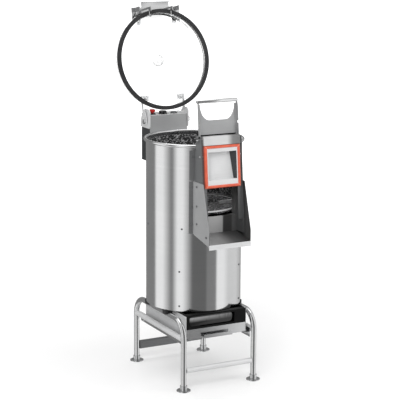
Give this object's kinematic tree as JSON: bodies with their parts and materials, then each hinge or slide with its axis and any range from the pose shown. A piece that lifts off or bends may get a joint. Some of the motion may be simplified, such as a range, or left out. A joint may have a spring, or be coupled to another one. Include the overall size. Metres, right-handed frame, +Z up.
{
  "type": "electric_potato_peeler",
  "caption": "Commercial electric potato peeler: steel drum on a tube stand, hinged clear lid, lift-up outlet door with chute, timer knob, buttons and peel drawer.",
  "frame": {"origin": "On the floor plane, at the centre of the four feet.", "axes": "+Z up along the drum's axis, +X to the right of the outlet side, -Y towards the outlet chute; the hinge and the control box are at +Y."},
  "size_m": [0.4112, 0.6609, 1.4704],
  "materials": {
    "abrasive": "black abrasive grit",
    "aluminium": "cast aluminium",
    "black_plastic": "glossy black plastic",
    "black_rubber": "black rubber",
    "brass": "plated brass",
    "clear_plastic": "clear polycarbonate",
    "dark_metal": "dark grey painted cast metal",
    "grey_plastic": "grey plastic",
    "orange_seal": "orange silicone profile",
    "polished": "bright polished stainless",
    "red_plastic": "red plastic",
    "steel": "satin brushed stainless steel",
    "tube_steel": "polished stainless tube"
  },
  "bodies": {
    "machine": {"hoop_left": "tube_steel", "hoop_right": "tube_steel", "side_rails": "tube_steel", "cross_rail_front": "tube_steel", "cross_rail_rear": "steel", "feet": "steel", "drum_pads": "black_rubber", "runner_left": "steel", "runner_right": "steel", "drum_shell": "polished", "drum_base": "steel", "chamber_floor": "steel", "abrasive_liner": "abrasive", "bearing_housing": "dark_metal", "spindle_bearings": "steel", "drive_belt": "black_rubber", "motor_plate": "steel", "motor": "dark_metal", "peel_duct": "steel", "outlet_plate": "steel", "guide_left": "steel", "guide_right": "steel", "chute_side_left": "steel", "chute_side_right": "steel", "chute_floor": "steel", "latch_pins": "polished", "screws": "polished", "hinge_frame": "polished", "hinge_axle": "polished", "control_panel": "steel", "control_bezels": "black_plastic", "control_box": "steel", "water_inlet": "brass", "cable_gland": "black_plastic", "water_nozzle": "steel"},
    "door": {"door_gasket": "orange_seal", "door_pan": "steel", "door_header": "steel", "door_handle_plate": "steel", "door_handle_bar": "polished"},
    "lid": {"lid_pan": "clear_plastic", "lid_seal": "black_rubber", "lid_knob": "clear_plastic", "lid_bracket": "steel", "lid_arm_left": "steel", "lid_arm_right": "steel", "lid_bolts": "polished"},
    "disc": {"abrasive_disc": "abrasive", "disc_paddles": "polished", "disc_nut": "steel", "spindle": "steel", "pulley_large": "aluminium"},
    "motor_rotor": {"motor_shaft": "steel", "pulley_small": "aluminium"},
    "peel_drawer": {"drawer": "steel", "peel_tray": "black_plastic"},
    "stop": {"stop_button": "red_plastic"},
    "start": {"start_button": "grey_plastic"},
    "timer": {"timer_knob": "black_plastic"}
  },
  "joints": [
    {"name": "lid_hinge", "type": "hinge", "parent": "machine", "child": "lid", "pos_m": [0, 0.255, 0.9935], "axis": [1, 0, 0], "range_deg": [0, 75]},
    {"name": "door_slide", "type": "slide", "parent": "machine", "child": "door", "axis": [0, -0.0872, -0.9962], "range_m": [0, 0.126]},
    {"name": "disc_spin", "type": "hinge", "parent": "machine", "child": "disc", "pos_m": [0, 0.008, 0.6], "axis": [0, 0, 1], "continuous": true},
    {"name": "motor_spin", "type": "hinge", "parent": "machine", "child": "motor_rotor", "pos_m": [0, 0.138, 0.52], "axis": [0, 0, 1], "continuous": true},
    {"name": "drawer_slide", "type": "slide", "parent": "machine", "child": "peel_drawer", "axis": [0, -1, 0], "range_m": [0, 0.3]},
    {"name": "timer_turn", "type": "hinge", "parent": "machine", "child": "timer", "pos_m": [-0.016, 0.256, 1.02], "axis": [0, 0, -1], "range_deg": [0, 300]},
    {"name": "start_press", "type": "slide", "parent": "machine", "child": "start", "axis": [0, 0, -1], "range_m": [0, 0.003], "stiffness_N_per_m": 400},
    {"name": "stop_press", "type": "slide", "parent": "machine", "child": "stop", "axis": [0, 0, -1], "range_m": [0, 0.0035], "stiffness_N_per_m": 400}
  ],
  "couplings": [
    {"joint": "motor_spin", "follows": "disc_spin", "ratio": 3}
  ]
}
